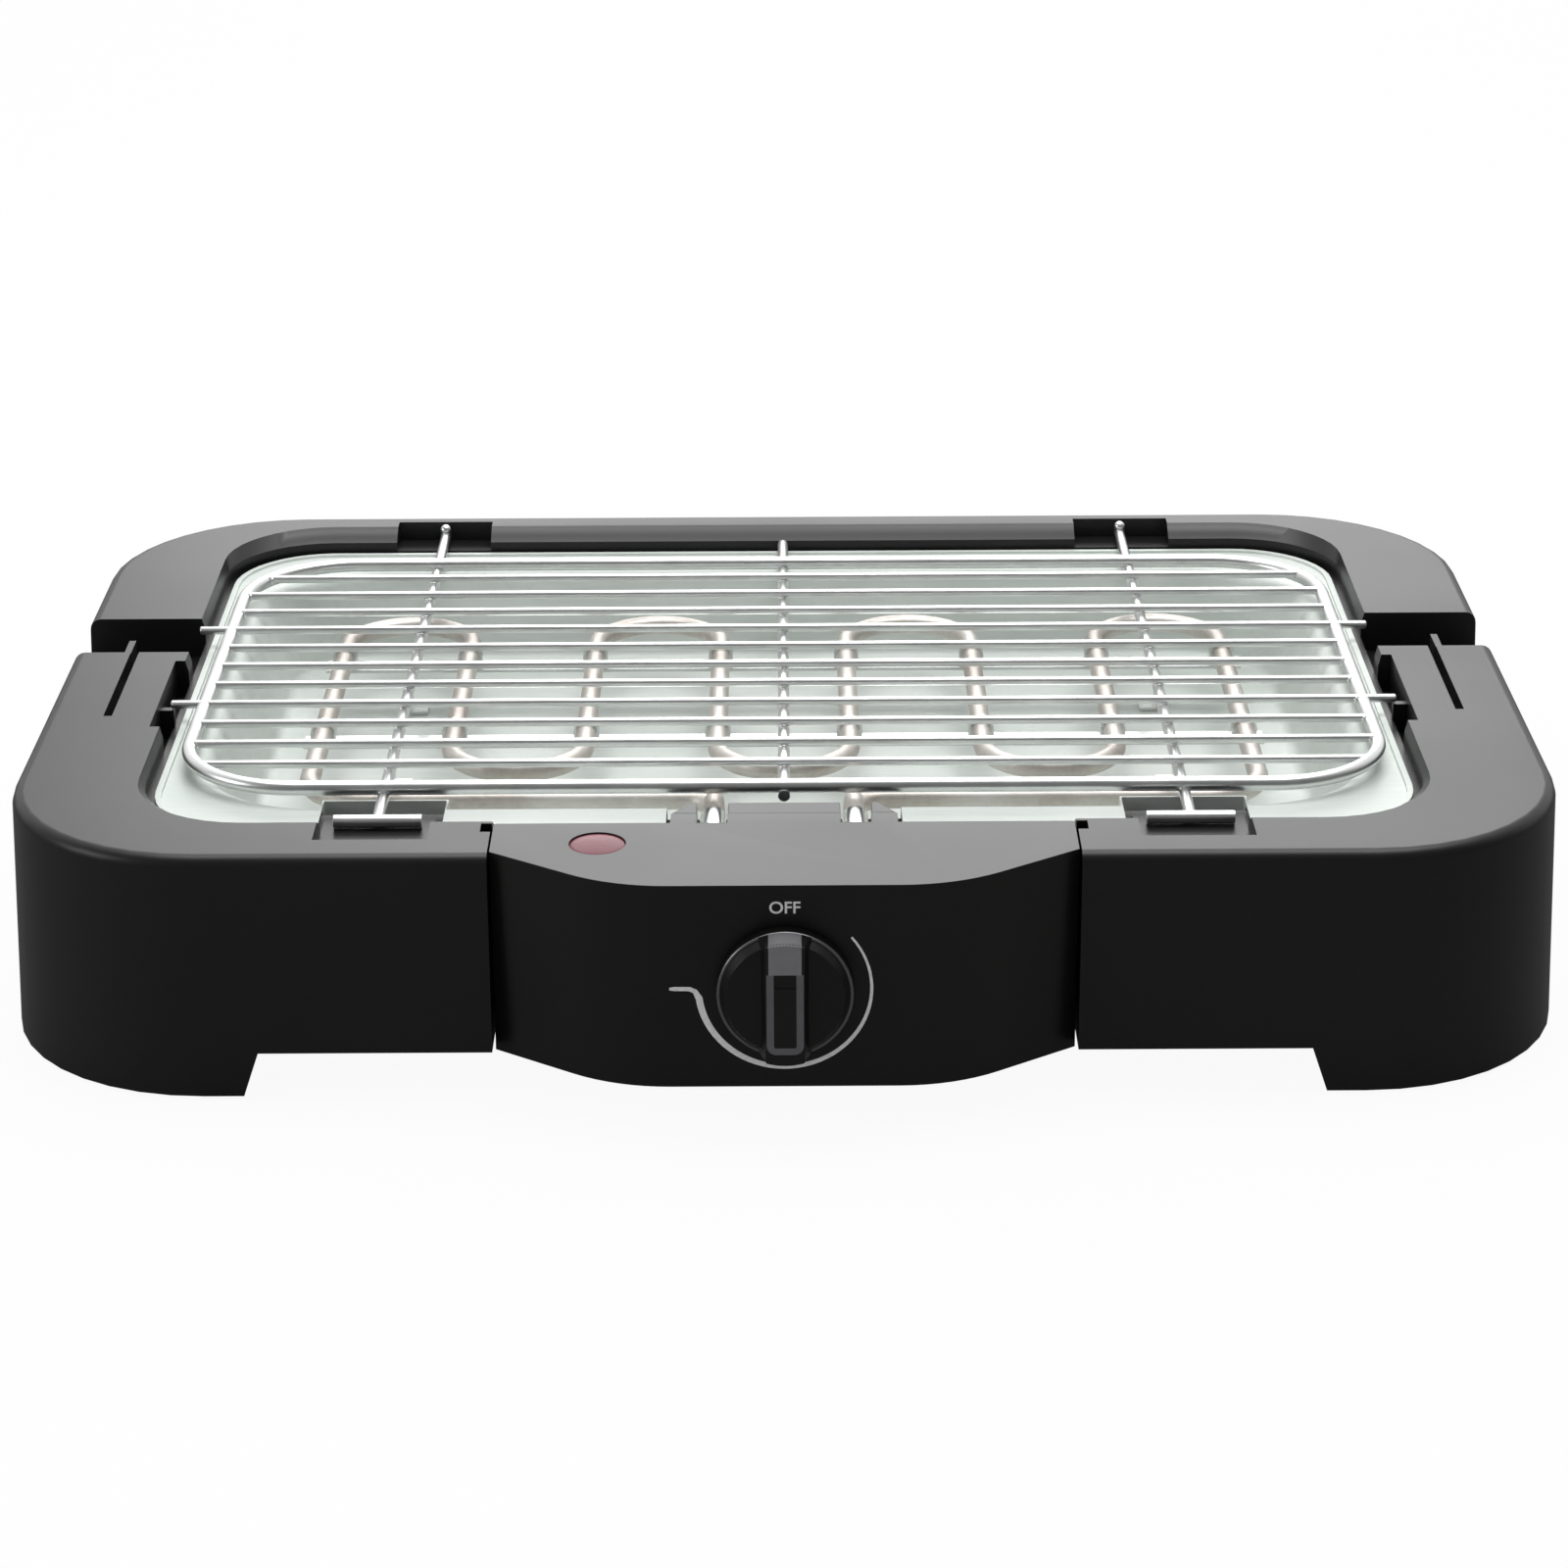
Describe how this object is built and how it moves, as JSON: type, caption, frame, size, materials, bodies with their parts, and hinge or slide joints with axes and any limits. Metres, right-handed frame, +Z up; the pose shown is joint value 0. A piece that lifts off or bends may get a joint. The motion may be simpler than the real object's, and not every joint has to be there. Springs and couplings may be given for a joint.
{
  "type": "electric table grill",
  "caption": "Low electric table grill: black moulded ring frame, sheet drip tray, plug-in bent-tube heating unit with knob and lamp, and a welded wire grid.",
  "frame": {"origin": "centre of the footprint, on the table under the rubber feet", "axes": "+X to the right along the frame's length, +Y from the control housing to the back, +Z up"},
  "size_m": [0.52, 0.3856, 0.0845],
  "materials": {
    "frame_plastic": "fine-grained black moulding",
    "foot_rubber": "matt black",
    "shield_sheet": "plain sheet",
    "screw_steel": "zinc-plated",
    "tray_sheet": "pale satin sheet",
    "housing_plastic": "fine-grained black moulding",
    "hood_plastic": "smooth dark grey moulding",
    "inlet_rubber": "matt black",
    "tube_sheath": "heat-tinted steel sheath",
    "sleeve_steel": "bright",
    "strap_steel": "bright sheet",
    "terminal_brass": "plain",
    "ceramic_white": "unglazed off-white",
    "lens_pink": "clear pink-red lens",
    "lamp_glass": "clear glass",
    "switch_plastic": "plain",
    "wire_sleeve": "woven sleeve",
    "knob_plastic": "satin black moulding",
    "pointer_grey": "light grey inlay",
    "pin_plastic": "plain",
    "wire_chrome": "bright plated wire"
  },
  "bodies": {
    "base": {"base_frame": "frame_plastic", "rubber_feet": "foot_rubber", "heat_shield": "shield_sheet", "shield_screws": "screw_steel"},
    "tray": {"drip_tray": "tray_sheet"},
    "unit": {"control_housing": "housing_plastic", "back_cover": "housing_plastic", "cover_screws": "screw_steel", "neck_hood": "hood_plastic", "cord_inlet": "inlet_rubber", "heating_tube": "tube_sheath", "tube_sleeves": "sleeve_steel", "tube_plate": "shield_sheet", "plate_rivets": "screw_steel", "terminal_pins": "screw_steel", "spade_tabs": "terminal_brass", "support_straps": "strap_steel", "tube_clips": "strap_steel", "thermostat_body": "ceramic_white", "thermostat_bush": "terminal_brass", "thermostat_bracket": "shield_sheet", "bracket_screws": "screw_steel", "thermostat_tabs": "terminal_brass", "lamp_lens": "lens_pink", "lamp_holder": "ceramic_white", "neon_lamp": "lamp_glass", "terminal_block": "ceramic_white", "block_screws": "terminal_brass", "safety_switch": "switch_plastic", "switch_tabs": "terminal_brass", "lead_wires": "wire_sleeve"},
    "knob": {"control_knob": "knob_plastic", "knob_pointer": "pointer_grey", "thermostat_shaft": "screw_steel", "knob_clip": "screw_steel"},
    "pin": {"safety_pin": "pin_plastic"},
    "grid": {"grid_loop": "wire_chrome", "grid_bars": "wire_chrome", "grid_rods": "wire_chrome"}
  },
  "joints": [
    {"name": "tray_lift", "type": "slide", "parent": "base", "child": "tray", "axis": [0, 0, 1], "range_m": [0, 0.1]},
    {"name": "unit_lift", "type": "slide", "parent": "tray", "child": "unit", "axis": [0, 0, 1], "range_m": [0, 0.11]},
    {"name": "grid_lift", "type": "slide", "parent": "unit", "child": "grid", "axis": [0, 0, 1], "range_m": [0, 0.12]},
    {"name": "knob_turn", "type": "hinge", "parent": "unit", "child": "knob", "pos_m": [0, -0.17925, 0.049], "axis": [0, 1, 0], "range_deg": [0, 270]},
    {"name": "pin_drop", "type": "slide", "parent": "unit", "child": "pin", "axis": [0, 0, -1], "range_m": [0, 0.003]}
  ],
  "couplings": [
    {"joint": "pin_drop", "follows": "unit_lift", "ratio": 0.027272}
  ]
}
